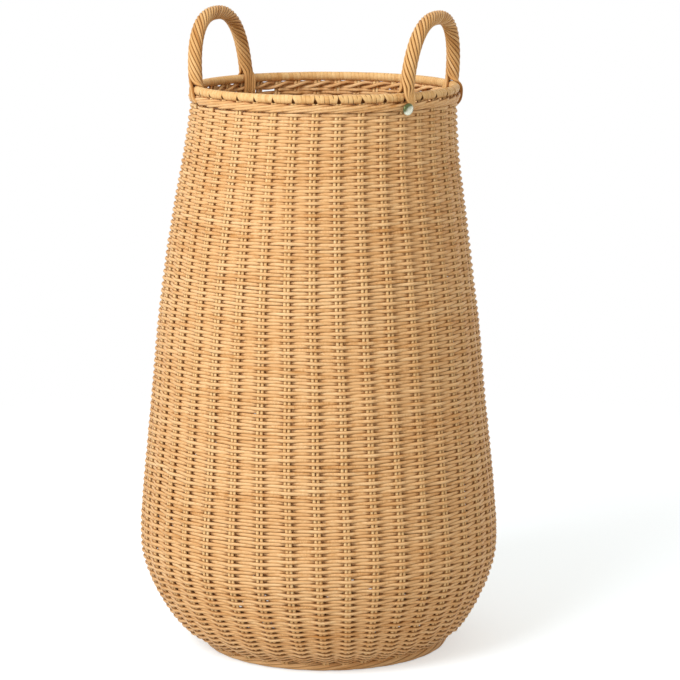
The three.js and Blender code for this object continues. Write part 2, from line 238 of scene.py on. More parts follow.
class Bundle:
    """Strands that become one mesh, each with its shade and its place along the strand.

    Sides is how many corners a rod has round it. The map for baking lays each strand out in strips of the
    given length, one above the other.
    """

    def __init__(self, sides, strip_length):
        self.sides = sides
        self.strip_length = strip_length
        self.corners, self.shades = [], []
        self.faces, self.face_maps, self.strips = [], [], 0
        self.caps, self.cap_maps = [], []
        self.count = 0

    def add(self, path, outward, width, depth=None, shade=0.5, closed=False, roundness=1.0):
        """Adds a tube along a path. Its width lies along the wall, and its depth points outward.

        A roundness of 1 makes an ellipse, and less makes a flat strip with rounded edges.
        """
        path = handmade(path)
        ahead = np.roll(path, -1, 0) - np.roll(path, 1, 0) if closed else np.gradient(path, axis=0)
        along = unit(ahead)
        out = unit(outward - along * np.sum(outward * along, -1, keepdims=True))
        side = np.cross(along, out)
        turn = np.arange(self.sides) * 2 * math.pi / self.sides
        width = np.broadcast_to(width, len(path))
        depth = np.broadcast_to(width if depth is None else depth, len(path))
        outer, lateral = (np.sign(way) * np.abs(way) ** roundness for way in (np.cos(turn), np.sin(turn)))
        offset = out[:, None] * (outer * depth[:, None] / 2)[..., None]
        offset = offset + side[:, None] * (lateral * width[:, None] / 2)[..., None]
        self.corners.append((path[:, None] + offset).reshape(-1, 3))
        self.shades.append(np.repeat(np.broadcast_to(shade, len(path)), self.sides))
        self._add_faces(path, closed)
        self.count += len(path) * self.sides

    def _add_faces(self, path, closed):
        stations, sides = len(path), self.sides
        spans = stations if closed else stations - 1
        station = np.repeat(np.arange(spans), sides)
        corner = np.tile(np.arange(sides), spans)
        following, beside = (station + 1) % stations, (corner + 1) % sides
        rings = [(station, corner), (station, beside), (following, beside), (following, corner)]
        self.faces.append(self.count + np.stack([ring * sides + place for ring, place in rings], 1))

        lengths = np.linalg.norm(np.roll(path, -1, 0) - path, axis=1)[:spans]
        distance = np.concatenate([[0], np.cumsum(lengths)])
        strips = max(1, math.ceil(distance[-1] / self.strip_length))
        per_strip = math.ceil(spans / strips)
        start = (station % per_strip) / per_strip
        strip = self.strips + station // per_strip
        places = []
        for ahead, up in ((0, 0), (0, 1), (1, 1), (1, 0)):
            round_share = (corner + up) / sides
            grain = np.stack([distance[station + ahead], round_share], 1)
            sheet = np.stack([start + ahead / per_strip, strip + 0.06 + 0.88 * round_share], 1)
            places.append(np.concatenate([grain, sheet], 1))
        self.face_maps.append(np.stack(places, 1))
        if not closed:
            self._add_cap(0, 0, 0, -1)
            self._add_cap((stations - 1) * sides, distance[-1], strips - 1, 1)
        self.strips += strips

    def _add_cap(self, first, distance, strip, way):
        ring = np.arange(self.sides)[::way]
        turn = ring * 2 * math.pi / self.sides
        spot = np.stack([0.5 + 0.002 * np.cos(turn), self.strips + strip + 0.03 + 0.02 * np.sin(turn)], 1)
        grain = np.stack([np.full(self.sides, distance), ring / self.sides], 1)
        self.caps.append(self.count + first + ring)
        self.cap_maps.append(np.concatenate([grain, spot], 1))

    def build(self, name, finish, slot, *nodes):
        """Makes the mesh, which rides on the basket in place of the nodes."""
        faces = np.concatenate(self.faces)
        caps = np.array(self.caps, int).reshape(-1, self.sides)
        corners = np.concatenate(self.corners)
        maps = [np.concatenate(self.face_maps).reshape(-1, 4), *self.cap_maps]
        maps = np.concatenate(maps)
        maps[:, 3] /= self.strips
        starts = np.arange(len(faces)) * 4
        cap_starts = faces.size + np.arange(len(caps)) * self.sides
        mesh = bpy.data.meshes.new(name)
        mesh.vertices.add(len(corners))
        mesh.vertices.foreach_set("co", corners.astype(np.float32).ravel())
        mesh.loops.add(faces.size + caps.size)
        mesh.loops.foreach_set("vertex_index", np.concatenate([faces.ravel(), caps.ravel()]).astype(np.int32))
        mesh.polygons.add(len(faces) + len(caps))
        mesh.polygons.foreach_set("loop_start", np.concatenate([starts, cap_starts]).astype(np.int32))
        mesh.update(calc_edges=True)
        mesh.polygons.foreach_set("use_smooth", np.ones(len(mesh.polygons), bool))
        for layer, columns in (("OFBake", slice(2, 4)), ("grain", slice(0, 2))):
            uv = mesh.uv_layers.new(name=layer)
            uv.data.foreach_set("uv", maps[:, columns].astype(np.float32).ravel())
        shade = mesh.attributes.new("shade", "FLOAT", "POINT")
        shade.data.foreach_set("value", np.concatenate(self.shades).astype(np.float32))
        print(name, "has", len(self.corners), "strands and", 2 * len(faces), "triangles")
        return put_in_place(mesh, name, finish, slot, *nodes)


def put_in_place(mesh, name, finish, slot, *nodes):
    """Shows a mesh as a piece of the basket."""
    mesh.validate()
    mesh.materials.append(finish)
    piece = bpy.data.objects.new(name, mesh)
    bpy.context.scene.collection.objects.link(piece)
    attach(piece, "root")
    if nodes:
        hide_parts(*nodes)
    return piece


# %% [markdown]
# ## Writing finishes
#
# A material's nodes are easier to read as sums than as boxes and wires. The class below wraps one socket.
# Adding or multiplying such wires makes the Math nodes, and every other node comes from one method.


# %% Sums on sockets
class Wire:
    """A socket of a material, which can be added, multiplied and compared like a number."""

    def __init__(self, finish, socket):
        self.finish = finish
        self.socket = socket

    def _sum(self, operation, first, second):
        return self.finish.node("ShaderNodeMath", {"operation": operation}, {0: first, 1: second})

    def __add__(self, other):
        return self._sum("ADD", self, other)

    def __sub__(self, other):
        return self._sum("SUBTRACT", self, other)

    def __rsub__(self, other):
        return self._sum("SUBTRACT", other, self)

    def __mul__(self, other):
        return self._sum("MULTIPLY", self, other)

    def __pow__(self, other):
        return self._sum("POWER", self, other)

    __radd__ = __add__
    __rmul__ = __mul__


class Finish:
    """A material that is written as Python."""

    def __init__(self, name):
        self.material = bpy.data.materials.new(name)
        self.material.use_nodes = True
        self.tree = self.material.node_tree
        self.surface = self.tree.nodes["Principled BSDF"]

    def node(self, kind, settings=None, inputs=None, output=0):
        """Adds a node: its settings first, then what goes into its sockets. Returns one of its outputs."""
        made = self.tree.nodes.new(kind)
        for key, value in (settings or {}).items():
            if key == "stops":
                self._set_stops(made.color_ramp, value)
            else:
                setattr(made, key, value)
        for key, value in (inputs or {}).items():
            self.feed(made.inputs[key], value)
        return Wire(self, made.outputs[output])

    def _set_stops(self, ramp, stops):
        while len(ramp.elements) < len(stops):
            ramp.elements.new(1)
        for element, (place, colour) in zip(ramp.elements, stops):
            element.position = place
            element.color = (*colour, 1)

    def feed(self, socket, value):
        if isinstance(value, Wire):
            self.tree.links.new(value.socket, socket)
        else:
            socket.default_value = value

    def mix(self, share, first, second):
        """Colour between two others."""
        return self.node("ShaderNodeMix", {"data_type": "RGBA"}, {0: share, 6: first, 7: second}, 2)

    def set(self, **sockets):
        """Sets the surface's sockets, named in words joined by underscores."""
        for key, value in sockets.items():
            self.feed(self.surface.inputs[key.replace("_", " ")], value)


def paint(red, green, blue):
    """Colour from its screen values, which run from 0 to 255."""
    shares = np.array([red, green, blue]) / 255
    linear = np.where(shares <= 0.04045, shares / 12.92, ((shares + 0.055) / 1.055) ** 2.4)
    return (*linear.tolist(), 1)


# %% [markdown]
# ## Rattan
#
# Rattan core is straw yellow to light brown, and no two rods are alike. Along one rod the colour drifts
# over a few centimetres, and fine darker fibres run with it. The shine is soft, and a little stronger where
# the fibres lie close. All of it is worked out from the map along the strand, squeezed lengthways so
# that the noise turns into streaks. Each strand's shade moves it through the noise and tints it as a whole.
# The sides of a rod, where it lies against the next one, are darker with painted shade. A finish has three
# colours, from pale to brown, then its roughness, its gloss and how dark its painted side shade is.


# %% The rattan finish
# Painted shade: the colour that the sides of a rod are darkened towards, where the next rod shades them.
side_shade_colour = paint(126, 70, 14)


def rattan(name, colours, roughness, gloss, painted_side_shade=None):
    """Rattan for strands, or for plain solids, which have no map and no painted side shade."""
    pale, honey, brown = (paint(*colour) for colour in colours)
    finish = Finish(name)
    shade, grain = 0.5, finish.node("ShaderNodeTexCoord", output="Object")
    if painted_side_shade is not None:
        shade = finish.node("ShaderNodeAttribute", {"attribute_name": "shade"}, output="Fac")
        grain = finish.node("ShaderNodeUVMap", {"uv_map": "grain"})
    shift = finish.node("ShaderNodeCombineXYZ", {}, {"X": shade * 31, "Y": shade * 17, "Z": shade * 53})

    def streaks(lengthways, around, detail):
        scaled = {0: grain, 1: (lengthways, around, 1), 2: shift}
        place = finish.node("ShaderNodeVectorMath", {"operation": "MULTIPLY_ADD"}, scaled)
        inputs = {"Vector": place, "Scale": 1, "Detail": detail, "Roughness": 0.6}
        return finish.node("ShaderNodeTexNoise", {}, inputs)

    drift = streaks(14, 1.2, 2)
    fibres = streaks(70, 9, 3)
    specks = streaks(160, 5, 1)
    stops = [(0.25, brown[:3]), (0.5, honey[:3]), (0.75, pale[:3])]
    base = finish.node("ShaderNodeValToRGB", {"stops": stops}, {"Fac": drift * 0.55 + shade * 0.45})
    dark_lines = finish.node("ShaderNodeMapRange", {}, {"Value": fibres, 1: 0.52, 2: 0.72, 3: 0, 4: 0.32})
    lined = finish.mix(dark_lines, base, brown)
    if painted_side_shade is not None:
        round_share = finish.node("ShaderNodeSeparateXYZ", {}, {"Vector": grain}, "Y")
        facing = finish.node("ShaderNodeMath", {"operation": "COSINE"}, {0: round_share * (2 * math.pi)})
        facing = finish.node("ShaderNodeMath", {"operation": "ABSOLUTE"}, {0: facing})
        # Painted shade on the rod's sides, where they face along the wall towards the next rod.
        side_shade_range = {"Value": facing, 1: 0.8, 2: 0.45, 3: 0, 4: painted_side_shade}
        lined = finish.mix(finish.node("ShaderNodeMapRange", {}, side_shade_range), lined, side_shade_colour)
    spots = finish.node("ShaderNodeMapRange", {}, {"Value": specks, 1: 0.68, 2: 0.8, 3: 0, 4: 0.4})
    finish.set(Base_Color=finish.mix(spots, lined, brown), Roughness=roughness + fibres * 0.16)
    finish.set(Specular_IOR_Level=gloss)
    relief = {"Height": fibres * 0.7 + drift * 0.3, "Strength": 0.35, "Distance": 0.0004}
    finish.set(Normal=finish.node("ShaderNodeBump", {}, relief))
    return finish.material


weaver_colours = (252, 214, 162), (239, 191, 134), (207, 147, 82)
stake_colours = (255, 225, 172), (250, 209, 148), (230, 177, 114)
handle_colours = (250, 208, 150), (234, 184, 120), (198, 140, 76)
# The hoop's colours are dark as painted shade, since the hoop only shows at the bottoms of the notches.
hoop_shade_colours = (112, 70, 34), (96, 58, 26), (80, 46, 18)
core_colours = (214, 164, 104), (190, 138, 80), (150, 100, 50)
cane_colours = (250, 212, 154), (240, 194, 132), (212, 156, 92)
base_colours = (236, 196, 142), (220, 172, 114), (184, 130, 72)

weaver_finish = rattan("weaver rattan", weaver_colours, 0.42, 0.22, 0.68)
stake_finish = rattan("stake rattan", stake_colours, 0.42, 0.22, 0.5)
handle_finish = rattan("handle rattan", handle_colours, 0.4, 0.2, 0.6)
shaded_hoop_finish = rattan("hoop rattan in painted shade", hoop_shade_colours, 0.6, 0.05)
core_finish = rattan("core rattan", core_colours, 0.5, 0.05)
cane_finish = rattan("binding cane", cane_colours, 0.36, 0.15, 0.35)
base_finish = rattan("base rattan", base_colours, 0.5, 0.08, 0.5)
print("Finishes made:", len(bpy.data.materials))

# %% [markdown]
# ## Stakes
#
# The stakes are the basket's uprights. Each is a pair of thin rods side by side, from the foot border to
# the rim. All rods go into one bundle, since they are one finish and never come apart.

# %% Make the stakes
stake_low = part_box("stake_01")[0].z
stake_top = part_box("stake_01")[1].z
stake_steps = 64
stake_gap_spread = 0.06
stake_sway = 0.0002
stake_sway_knots = 9

stakes = Bundle(rod_sides, strip_length=1)
stake_rises = rise_at(np.linspace(stake_low, stake_top, stake_steps))
stake_heights = np.interp(stake_rises, profile_rises, profile_heights)
for stake in range(stake_count):
    gap = stake_rod_pitch * (1 + stake_gap_spread * chance.standard_normal())
    for way in (-1, 1):
        knots = np.linspace(0, rim_height, stake_sway_knots)
        sway = np.interp(stake_heights, knots, chance.normal(0, stake_sway, stake_sway_knots))
        across = way * gap / 2 + sway
        angle = first_stake_angle + stake * stake_spacing + across / wall_radius(stake_heights)
        points, outward = on_wall(angle, stake_rises, stake_out)
        stakes.add(points, outward, stake_rod_width, stake_rod_diameter, shade=chance.normal(0.55, 0.12))
stake_nodes = [f"stake_{number:02d}" for number in range(1, stake_count + 1)]
stakes.build("stake_rods", stake_finish, "stake_rattan", *stake_nodes)

# %% [markdown]
# ## Rows
#
# One weaver goes round and round in a spiral, in front of one stake and behind the next. An odd number of
# stakes makes each turn swap sides with the turn below it. A plain cosine would cross the wall evenly, but
# rows that are beaten down hard lie on each other between the stakes and part only beside them, so the
# cosine is raised to a power, and to a higher one behind a stake, where the rod dives in and out. Where
# rods cross they press into each other, so the front swing is the smaller one. The rods are a little wider
# than deep.
#
# A weaver is a few metres long. Where one ends, the next starts behind the same stake, with a colour of its
# own. How tightly the rows are beaten down changes with the height, as does the way they cross: near the
# foot they swing gently. The top stretch has the most rows, so its rods have one side fewer, which keeps
# its mesh light.

# %% Make the rows
row_pitches = [
    [0.010, 0.0045],
    [0.030, 0.0041],
    [0.050, 0.0039],
    [0.090, 0.0041],
    [0.170, 0.00412],
    [0.290, 0.0040],
    [0.430, 0.00397],
    [0.490, 0.0041],
    [0.560, 0.00375],
    [0.630, 0.00388],
    [0.702, 0.0039],
]
front_power = 2.3
back_power = 4.5
foot_crossing_power = 1.2
crossing_lag = 0.03
weaver_width = 0.0049
foot_weaver_width = 0.0057
foot_swing_loss = 0.12
foot_rows = 9
steps_per_stake = 6
top_rod_sides = 7
weaver_crossings = 120
weaver_crossings_spread = 15
row_wander = 0.00016
swing_wander = 0.05
back_swing = (stake_rod_diameter + weaver_diameter) / 2
front_swing = 0.0034
first_row_rise = rise_at(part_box("lower_weave")[0].z) - 0.001
last_row_rise = rise_at(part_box("upper_weave")[1].z) + weaver_diameter / 2

rise_table = np.linspace(first_row_rise, profile_rises[-1], 4000)
pitch_table = smooth_table(row_pitches, np.interp(rise_table, profile_rises, profile_heights))
turn_table = np.concatenate([[0], np.cumsum(np.diff(rise_table) / pitch_table[1:])])


def row_rise(turns):
    """Way up the wall after so many turns."""
    return np.interp(turns, turn_table, rise_table)


def crossing_at(rise):
    """Number of stakes passed when the spiral reaches a place up the wall."""
    return np.interp(rise, rise_table, turn_table) * stake_count


def swing(crossings, near_foot):
    """How far out of the wall's middle a weaver is."""
    wave = np.cos(math.pi * (crossings - crossing_lag))
    power = np.where(wave > 0, front_power, back_power)
    power = power + (foot_crossing_power - power) * near_foot
    reach = np.where(wave > 0, front_swing, -back_swing) * (1 - foot_swing_loss * near_foot)
    return reach * np.abs(wave) ** power


def wandering(places, knots, size):
    """A smooth small random change along a strand."""
    spots = np.linspace(places[0], places[-1], max(int(knots), 2))
    return np.interp(places, spots, chance.normal(0, size, len(spots)))


def weave(bundle, first, last):
    """One weaver, from behind one stake to behind another."""
    crossings = np.arange(first, last + 0.5 / steps_per_stake, 1 / steps_per_stake)
    turns = crossings / stake_count
    rise = row_rise(turns) + wandering(crossings, last - first, row_wander)
    loose = 1 + wandering(crossings, 2 * (last - first), swing_wander)
    angle = first_stake_angle + crossings * stake_spacing
    near_foot = np.exp(-turns / foot_rows)
    points, outward = on_wall(angle, rise, swing(crossings, near_foot) * loose)
    size = (1 + chance.normal(0, 0.03)) * (1 + wandering(crossings, (last - first) / 3, 0.03))
    width = weaver_width + (foot_weaver_width - weaver_width) * near_foot
    shade = chance.normal(0.5, 0.07) + wandering(crossings, (last - first) / 1.5, 0.13)
    bundle.add(points, outward, width * size, weaver_diameter * size, shade)


def make_rows(name, low, high, node, sides):
    """The rows of one stretch of wall."""
    first = 2 * math.floor(crossing_at(low) / 2) + 1
    last = 2 * math.floor(crossing_at(high) / 2) + 1
    rows = Bundle(sides, strip_length=1.3)
    while first < last:
        extra = 2 * int(chance.integers(-weaver_crossings_spread, weaver_crossings_spread))
        after = min(first + weaver_crossings + extra, last)
        after = last if last - after < weaver_crossings / 2 else after
        weave(rows, first, after)
        first = after
    return rows.build(name, weaver_finish, "weave_rattan", node)


stretches = ["lower_weave", "belly_weave", "middle_weave", "upper_weave"]
edges = [first_row_rise] + [rise_at(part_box(node)[1].z) for node in stretches[:-1]] + [last_row_rise]
for node, low, high in zip(stretches, edges, edges[1:]):
    sides = top_rod_sides if node == "upper_weave" else rod_sides
    make_rows(node.replace("weave", "rows"), low, high, node, sides)

# %% [markdown]
# ## Wale
#
# Under the rim, four rods are woven as a wale: each passes in front of three stakes, climbing a little, and
# then dips behind one. Three rods are in front everywhere, one over the other, so the wale shows long leaves
# that climb to the right and leave no hole. After one turn each rod has come to the place of its
# neighbour, so all four are one path that goes round four times.


# %% Make the wale
wale_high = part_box("top_wale")[1].z
wale_rods = 4
wale_steps = 12
wale_rod_width = 0.0047
wale_rod_depth = 0.0042
wale_thickness = wall_thickness + 0.0012
wale_middle_rise = rise_at(wale_high) - 0.0040
wale_out = (wale_thickness - wale_rod_depth) / 2
wale_up = 0.0037
wale_places = [0, 0.1, 0.64, 0.75, 0.84, 0.91, 1]
wale_out_shares = [0, 0.9, 1.25, 0, -1, -1, 0]
wale_up_shares = [-1, -0.85, 0.8, 1, 0.3, -0.4, -1]


def soften(values, rounds):
    """Rounds the corners of a closed row of values."""
    for _ in range(rounds):
        values = (np.roll(values, 1, 0) + 2 * values + np.roll(values, -1, 0)) / 4
    return values


wale = Bundle(sides=10, strip_length=1.2)
wale_crossings = np.arange(0, wale_rods * stake_count, 1 / wale_steps)
place = (wale_crossings / wale_rods + 0.5 / wale_rods) % 1
out = soften(np.interp(place, wale_places, wale_out_shares), 4)
up = soften(np.interp(place, wale_places, wale_up_shares), 4)
angle = first_stake_angle + wale_crossings * stake_spacing
points, outward = on_wall(angle, wale_middle_rise + wale_up * up, wale_out * out)
shade = 0.52 + wandering(wale_crossings, 80, 0.12)
wale.add(points, outward, wale_rod_width, wale_rod_depth, shade, closed=True)
wale.build("wale_twist", weaver_finish, "weave_rattan", "top_wale")

# %% [markdown]
# ## Rim
#
# The rim is a round hoop with flat cane wound round it, five turns to each gap between two stakes. Flat cane
# lies smooth, with only a fine line between its turns, which is partly painted shade on the cane's edges.
# Where a stake comes up under the hoop, the turns on both sides part and leave a small notch. It is dark from
# real shade and from the hoop's painted shade below it.

# %% Make the rim
cane_thickness = 0.0012
turns_per_gap = 5
cane_spare_width = 0.00015
cane_width = mouth_radius * stake_spacing / turns_per_gap + cane_spare_width
cane_roundness = 0.45
binding_radius = (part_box("rim_binding")[1].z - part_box("rim_binding")[0].z) / 2
steps_per_turn = 16
cane_lengths = 6
cane_sink = 0.0002
cane_slant = 0.0003
cane_wander = 0.00006
notch_half_width = 0.0026
notch_reach = 0.0045
parting_phase = 0.375


def round_hoop(angle, turn, reach):
    """Points round the hoop, at a distance from its middle line, and the directions away from it."""
    away = np.cos(turn)
    points = on_circle(mouth_radius + reach * away, angle, rim_height + reach * np.sin(turn))
    return points, on_circle(away, angle, np.sin(turn))


binding = Bundle(sides=10, strip_length=0.6)
all_windings = stake_count * turns_per_gap
cane_starts = [round(cane * all_windings / cane_lengths) for cane in range(cane_lengths + 1)]
for first, last in zip(cane_starts, cane_starts[1:]):
    windings = np.arange(first, last + 0.6, 1 / steps_per_turn)
    turn = -2 * math.pi * windings
    crossings = (windings + parting_phase) / turns_per_gap
    off = (crossings - np.round(crossings)) * stake_spacing * mouth_radius
    low_side = np.clip(0.6 - 1.2 * np.sin(turn), 0, 1) * np.clip(1.2 * np.cos(turn) + 0.5, 0, 1)
    parting = notch_half_width * np.sign(off) * np.exp(-((off / notch_reach) ** 2)) * low_side
    slant = wandering(windings, 60, cane_slant) * np.sin(turn)
    angle = first_stake_angle + crossings * stake_spacing + (parting + slant) / mouth_radius
    reach = binding_radius - cane_thickness / 2 - cane_sink + wandering(windings, 90, cane_wander)
    points, outward = round_hoop(angle, turn, reach)
    shade = 0.55 + wandering(windings, len(windings) / steps_per_turn, 0.16)
    binding.add(points, outward, cane_width, cane_thickness, shade, roundness=cane_roundness)
binding.build("rim_cane", cane_finish, "binding_cane", "rim_binding")

# %% [markdown]
# ## Handles
#
# Each handle is a bent rod with thin strands laid round it like a rope. Just above the rim the strands
# part: half of them run down over it on the outside, the others on the inside, side by side. Along the bow
# a strand is a helix. In the last stretch it keeps the side of the rope that it is on, and only
# moves away far enough to clear the rim.

# %% Sizes of the handles
handle_core_diameter = 0.011
handle_lean = 0.008
handle_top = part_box("right_handle_wrap")[1].z
rope_radius = (handle_core_diameter + strand_diameter) / 2
handle_rise = handle_top - rim_height - rope_radius - strand_diameter / 2
handle_stakes = 7
handle_half_angle = handle_stakes / 2 * stake_spacing
right_handle_angle = math.radians(-20.3)
left_handle_angle = math.radians(161)
pin_angle = first_stake_angle + 4 * stake_spacing
bow_power = 2.5
strand_count = 10
rope_strand_width = 0.0041
lay_length = 0.085
strand_step = 0.003
rope_end_height = 0.0095
strap_gap = 0.0008
foot_start_height = 0.0048
foot_start_out = 0.0070
foot_sink = 0.0014
inner_drop = 0.020
drop_spread = 0.001
pinned_lift = 0.0008
pinned_width_share = 0.25
bow_half_width = mouth_radius * math.sin(handle_half_angle)
bow_reach = mouth_radius * math.cos(handle_half_angle)


def bow_line(steps):
    """Middle line of a handle on its own plane, as even steps of [across, up from the rim]."""
    turn = np.linspace(0, math.pi, 400)
    across = -bow_half_width * np.sign(np.cos(turn)) * np.abs(np.cos(turn)) ** (2 / bow_power)
    up = handle_rise * np.abs(np.sin(turn)) ** (2 / bow_power)
    distance = np.concatenate([[0], np.cumsum(np.hypot(np.diff(across), np.diff(up)))])
    even = np.linspace(0, distance[-1], steps)
    return even, np.stack([np.interp(even, distance, across), np.interp(even, distance, up)], -1)


def from_handle(across, out, up, handle_angle):
    """Vectors from a handle's own plane to the basket's axes."""
    x = out * math.cos(handle_angle) - across * math.sin(handle_angle)
    y = out * math.sin(handle_angle) + across * math.cos(handle_angle)
    return np.stack([x, y, up + 0 * x], -1)


# %% [markdown]
# The foot of a strand is a short route of its own: over the binding, past the wale and down the wall. It is
# written as height and distance from the wall's middle, and its place side by side with the other strands.
# Each foot has its own number of inner strands, and its outer strands their own drop, gap to the rim, bulge
# and slant. One foot is pinned by a button, and there the strands run together to a point beside the pin.


# %% Routes of the strands
Foot = namedtuple("Foot", ["inner_count", "outer_drop", "rest", "bulge", "slant", "pinned"])


def rope_strand(handle_angle, strand, steps=120):
    """The part of a strand that is laid round the rod: its points, the ways out of the rope, and its lay."""
    distance, line = bow_line(steps)
    along = unit(np.gradient(line, axis=0))
    lay = 2 * math.pi * (strand / strand_count - distance / lay_length)
    level = np.sin(lay)[:, None] * np.stack([along[:, 1], -along[:, 0]], -1)
    directions = from_handle(level[:, 0], np.cos(lay), level[:, 1], handle_angle)
    lean = handle_lean * line[:, 1] / handle_rise
    middle = from_handle(line[:, 0], bow_reach + lean, rim_height + line[:, 1], handle_angle)
    roped = line[:, 1] > rope_end_height
    return (middle + rope_radius * directions)[roped], directions[roped], lay[roped]


def foot_strand(foot_angle, way, place, lift, foot):
    """One strand's end below its rope, side by side with its neighbours."""
    outer = way > 0
    pinned = foot.pinned and outer
    drop = (foot.outer_drop if outer else inner_drop) + (0 if pinned else chance.normal(0, drop_spread))
    past = foot.rest + strand_diameter / 2
    heights = [foot_start_height, 0, -0.45 * drop, -0.8 * drop, -drop]
    outs = [foot_start_out, binding_radius + past, binding_radius + past, wale_thickness / 2 + past]
    outs.append(wall_thickness / 2 + past - foot_sink)
    fine = np.linspace(0, 1, 18)
    knots = np.linspace(0, 1, len(heights))
    height, out = np.interp(fine, knots, heights), np.interp(fine, knots, outs)
    radius = np.where(height > 0, mouth_radius, wall_radius(rim_height + height)) + way * (out + lift * fine)
    radius = radius + outer * foot.bulge * np.sin(math.pi * fine)
    crowding = 1 - pinned * (1 - pinned_width_share) * fine
    spread = place * rope_strand_width * 0.86 * crowding + outer * foot.slant * fine**1.4
    angle = foot_angle + spread / mouth_radius + pinned * (pin_angle - foot_angle) * fine
    return on_circle(radius, angle, rim_height + height), way * on_circle(1, angle, 0)


def foot_places(lays, side_sign, inner_count):
    """Which side of the rim each strand takes, and its place there, from where it lies round the rope."""
    order = np.argsort(np.cos(lays))
    places = {}
    for way, members in ((-1, order[:inner_count]), (1, order[inner_count:])):
        row = sorted(members, key=lambda strand: side_sign * math.sin(lays[strand]))
        for place, strand in enumerate(row):
            places[int(strand)] = (way, place - (len(row) - 1) / 2)
    return places


# %% Make the handles
def even_path(points, directions):
    """The same path with even steps and rounded corners."""
    distance = np.concatenate([[0], np.cumsum(np.linalg.norm(np.diff(points, axis=0), axis=1))])
    even = np.linspace(0, distance[-1], int(distance[-1] / strand_step))
    rows = np.concatenate([points, directions], 1)
    rows = np.stack([np.interp(even, distance, column) for column in rows.T], -1)
    for _ in range(3):
        rows[1:-1] = (rows[:-2] + 2 * rows[1:-1] + rows[2:]) / 4
    return rows[:, :3], unit(rows[:, 3:])


def make_handle(side, handle_angle, kinds):
    """The rope of one handle, with a foot of its own kind at each end."""
    rope = Bundle(rod_sides, strip_length=0.5)
    strands = [rope_strand(handle_angle, strand) for strand in range(strand_count)]
    feet = []
    for end, side_sign in ((0, 1), (-1, -1)):
        lays = [lay[end] for _, _, lay in strands]
        feet.append(foot_places(lays, side_sign, kinds[end].inner_count))
    for strand, (points, directions, _) in enumerate(strands):
        path, outward = [points], [directions]
        for end, foot_side in ((0, -1), (1, 1)):
            way, place = feet[end][strand]
            lift = pinned_lift * (2 - place) if kinds[end].pinned and way > 0 else 0
            foot_angle = handle_angle + foot_side * handle_half_angle
            foot_points, foot_outward = foot_strand(foot_angle, way, place, lift, kinds[end])
            flip = slice(None, None, -1) if end == 0 else slice(None)
            spot = 0 if end == 0 else len(path)
            path.insert(spot, foot_points[flip])
            outward.insert(spot, foot_outward[flip])
        path, outward = even_path(np.concatenate(path), np.concatenate(outward))
        rope.add(path, outward, rope_strand_width, strand_diameter, shade=chance.normal(0.5, 0.18))
    return rope.build(side + "_handle_rope", handle_finish, "handle_rattan", side + "_handle_wrap")


right_feet = [Foot(5, 0.0115, 0.0003, 0, 0.0095, True), Foot(5, 0.022, 0.0003, 0.0048, 0, False)]
left_feet = [Foot(5, 0.020, 0.0003, 0, 0, False), Foot(5, 0.0125, -0.0009, 0.0004, 0.018, False)]
make_handle("right", right_handle_angle, right_feet)
make_handle("left", left_handle_angle, left_feet)

# %% [markdown]
# ## Foot border
#
# The stakes' ends are bent over and plaited into the thick ring that the basket stands on. From outside it
# shows long strands that climb slowly to the right, so it is made like the wale: a flattened rope, with
# more strands and a longer lay.

# %% Make the foot border
border_low, border_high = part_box("foot_border")
border_strands = 6
border_strand_width = 0.0062
border_diameter = 0.0044
border_radius = 0.1487
border_shift = 0.0022
border_middle = (border_high.z + border_low.z) / 2
border_up = (border_high.z - border_low.z - border_diameter) / 2
border_half_width = 0.0062
border_out = border_half_width - border_diameter / 2
border_turns = 5

border = Bundle(sides=10, strip_length=0.9)
border_angles = np.linspace(0, 2 * math.pi, 320, endpoint=False)
for strand in range(border_strands):
    turn = border_turns * border_angles + 2 * math.pi * strand / border_strands
    squash = 0.62 + 0.38 * np.abs(np.cos(turn))
    radius = border_radius + border_out * np.cos(turn)
    height = border_middle + border_up * np.sin(turn) * squash**0.3
    points = on_circle(radius, border_angles, height) + [border_shift, 0, 0]
    outward = on_circle(np.cos(turn), border_angles, np.sin(turn))
    border.add(points, outward, border_strand_width, border_diameter, shade=0.3 + 0.08 * strand, closed=True)
border.build("foot_plait", weaver_finish, "weave_rattan", "foot_border")

# %% [markdown]
# ## Base
#
# Five sticks are pushed through slits in five others, and both sets are fanned out into spokes. Thin
# weavers fill the disc. There is an even number of spokes, so two weavers chase each other, one always in
# front where the other is behind.

# %% Make the base
base_sticks = 5
base_low, base_high = (corner.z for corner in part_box("base_weave"))
base_middle = (base_low + base_high) / 2
base_radius = 0.1415
stick_reach = 0.136
stick_width = 0.005
stick_height = 0.004
stick_pitch = 0.007
block_length = 0.048
spoke_count = 4 * base_sticks
base_weaver_diameter = 0.0027
base_swing = (stick_height + base_weaver_diameter) / 2


def smooth_step(share):
    """Share that starts and ends gently."""
    share = np.clip(share, 0, 1)
    return share * share * (3 - 2 * share)


def flat_points(x, y, height):
    """Points in or near the plane of the base."""
    return np.stack([x, y, base_middle + height + 0 * x], -1)


